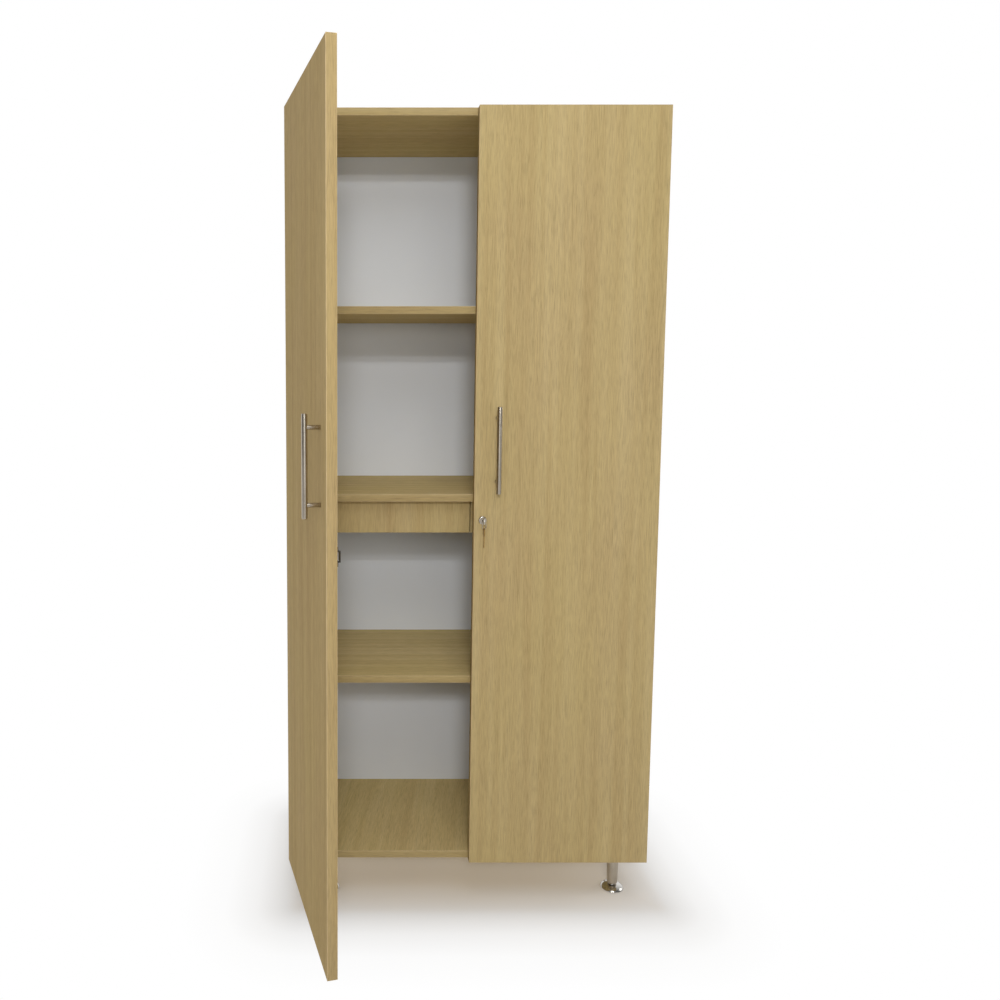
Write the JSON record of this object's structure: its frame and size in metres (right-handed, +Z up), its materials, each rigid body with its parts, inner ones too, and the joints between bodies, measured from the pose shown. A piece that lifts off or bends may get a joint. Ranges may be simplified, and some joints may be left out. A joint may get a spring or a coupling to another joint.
{
  "type": "tall two-door cabinet",
  "caption": "Tall two-door cupboard of oak board on metal legs, with shelves, an inner drawer, bar handles and a key lock.",
  "frame": {"origin": "on the floor, in the middle of the width, in the plane of the closed doors' front faces", "axes": "+Z up, +Y from the doors to the back, +X to the right seen from the front"},
  "size_m": [0.904, 0.8446, 1.97],
  "materials": {
    "oak": "light oak decor, fine grain, satin",
    "oak_edge": "light oak edge banding, satin",
    "white_board": "white lacquered hardboard",
    "beech": "bare beech",
    "satin_nickel": "satin nickel",
    "steel": "brushed steel",
    "zinc": "zinc plated steel",
    "chrome": "polished chrome",
    "brass": "worn brass"
  },
  "bodies": {
    "carcass": {"side_panel_left": "oak", "side_panel_right": "oak", "top_panel": "oak", "bottom_panel": "oak", "back_panel": "white_board", "shelf_lower": "oak", "shelf_middle": "oak", "shelf_upper": "oak", "shelf_pins": "zinc", "carcass_edge_bands": "oak_edge", "carcass_dowels": "beech", "carcass_screws": "zinc", "leg_plates": "zinc", "leg_screws": "zinc", "legs": "satin_nickel", "left_hinge_arms": "zinc", "left_hinge_plates": "zinc", "left_plate_screws": "zinc", "right_hinge_arms": "zinc", "right_hinge_plates": "zinc", "right_plate_screws": "zinc", "drawer_hangers": "oak", "runner_fixed_members": "zinc", "runner_screws": "zinc"},
    "foot_front_left": {"foot_front_left": "chrome"},
    "foot_front_right": {"foot_front_right": "chrome"},
    "foot_rear_left": {"foot_rear_left": "chrome"},
    "foot_rear_right": {"foot_rear_right": "chrome"},
    "left_door": {"left_door": "oak", "left_door_edge_bands": "oak_edge", "left_handle_bar": "steel", "left_handle_posts": "chrome", "left_handle_screws": "zinc", "left_hinge_cups": "zinc", "left_hinge_pins": "zinc", "left_cup_screws": "zinc", "lock_keeper": "zinc", "keeper_screws": "zinc"},
    "right_door": {"right_door": "oak", "right_door_edge_bands": "oak_edge", "right_handle_bar": "steel", "right_handle_posts": "chrome", "right_handle_screws": "zinc", "right_hinge_cups": "zinc", "right_hinge_pins": "zinc", "right_cup_screws": "zinc", "lock_case": "zinc", "lock_screws": "zinc", "lock_rosette": "chrome"},
    "lock_plug": {"lock_plug": "chrome", "key": "satin_nickel"},
    "lock_bolt": {"lock_bolt": "zinc"},
    "key_ring": {"key_ring": "chrome", "spare_key": "brass"},
    "drawer": {"drawer_front": "oak", "drawer_sides": "oak", "drawer_back": "oak", "drawer_bottom": "white_board", "runner_drawer_members": "zinc"},
    "ball_cages": {"runner_ball_cages": "zinc"}
  },
  "joints": [
    {"name": "left_door_hinge", "type": "hinge", "parent": "carcass", "child": "left_door", "pos_m": [-0.4415, 0.011, 1.045], "axis": [0, 0, -1], "range_deg": [-76.3, 18.7]},
    {"name": "right_door_hinge", "type": "hinge", "parent": "carcass", "child": "right_door", "pos_m": [0.4415, 0.011, 1.045], "axis": [0, 0, 1], "range_deg": [0, 95]},
    {"name": "drawer_slide", "type": "slide", "parent": "carcass", "child": "drawer", "axis": [0, -1, 0], "range_m": [0, 0.24]},
    {"name": "ball_cage_slide", "type": "slide", "parent": "carcass", "child": "ball_cages", "axis": [0, -1, 0], "range_m": [0, 0.1201]},
    {"name": "key_turn", "type": "hinge", "parent": "right_door", "child": "lock_plug", "pos_m": [0.022, -0.01, 0.994], "axis": [0, 1, 0], "range_deg": [0, 90]},
    {"name": "bolt_slide", "type": "slide", "parent": "right_door", "child": "lock_bolt", "axis": [-1, 0, 0], "range_m": [0, 0.0081]},
    {"name": "key_ring_swing", "type": "hinge", "parent": "lock_plug", "child": "key_ring", "pos_m": [0.022, -0.0242, 0.994], "axis": [-1, 0, 0], "range_deg": [-15, 80]},
    {"name": "front_left_foot_screw", "type": "slide", "parent": "carcass", "child": "foot_front_left", "axis": [0, 0, -1], "range_m": [0, 0.015]},
    {"name": "front_right_foot_screw", "type": "slide", "parent": "carcass", "child": "foot_front_right", "axis": [0, 0, -1], "range_m": [0, 0.015]},
    {"name": "rear_left_foot_screw", "type": "slide", "parent": "carcass", "child": "foot_rear_left", "axis": [0, 0, -1], "range_m": [0, 0.015]},
    {"name": "rear_right_foot_screw", "type": "slide", "parent": "carcass", "child": "foot_rear_right", "axis": [0, 0, -1], "range_m": [0, 0.015]}
  ],
  "couplings": [
    {"joint": "ball_cage_slide", "follows": "drawer_slide", "ratio": 0.5},
    {"joint": "bolt_slide", "follows": "key_turn", "m_per_rad": 0.005093}
  ]
}
